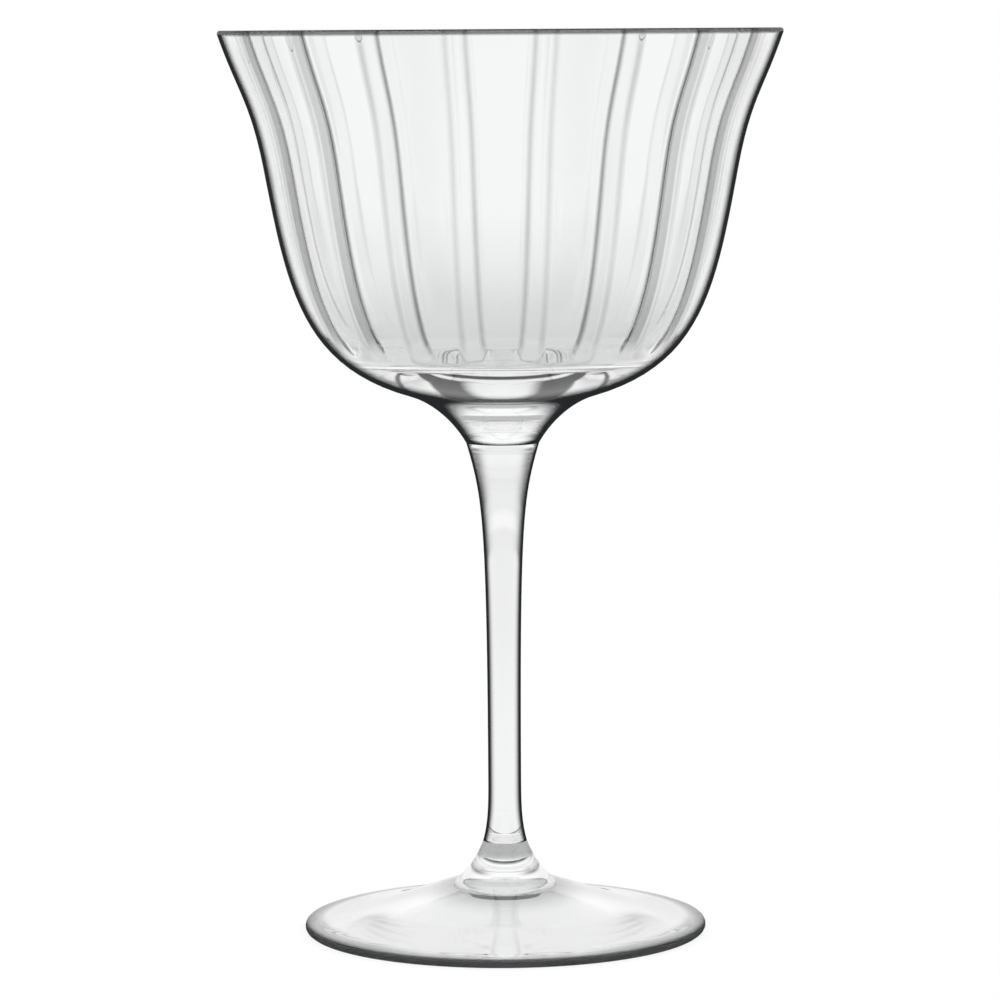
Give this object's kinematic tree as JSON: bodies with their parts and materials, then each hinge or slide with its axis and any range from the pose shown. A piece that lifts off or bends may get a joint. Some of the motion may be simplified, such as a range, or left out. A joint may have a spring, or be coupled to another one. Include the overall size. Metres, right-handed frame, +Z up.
{
  "type": "fizz glass",
  "caption": "Stemmed drinking glass with a flared bowl fluted on the inside, a slim tapered stem and a round foot, for fizzes, sours and other short cocktails.",
  "frame": {"origin": "on the table, under the middle of the foot", "axes": "+Z up along the axis of the glass, -Y towards the viewer of the picture, +X to the right"},
  "size_m": [0.093, 0.093, 0.15],
  "materials": {
    "bowl_glass": "clear, fire-polished, smooth outside and fluted inside",
    "stem_glass": "clear, fire-polished, solid",
    "foot_glass": "clear, fire-polished, with a rounded edge"
  },
  "bodies": {
    "root": {"bowl": "bowl_glass", "stem": "stem_glass", "foot": "foot_glass"}
  },
  "joints": []
}
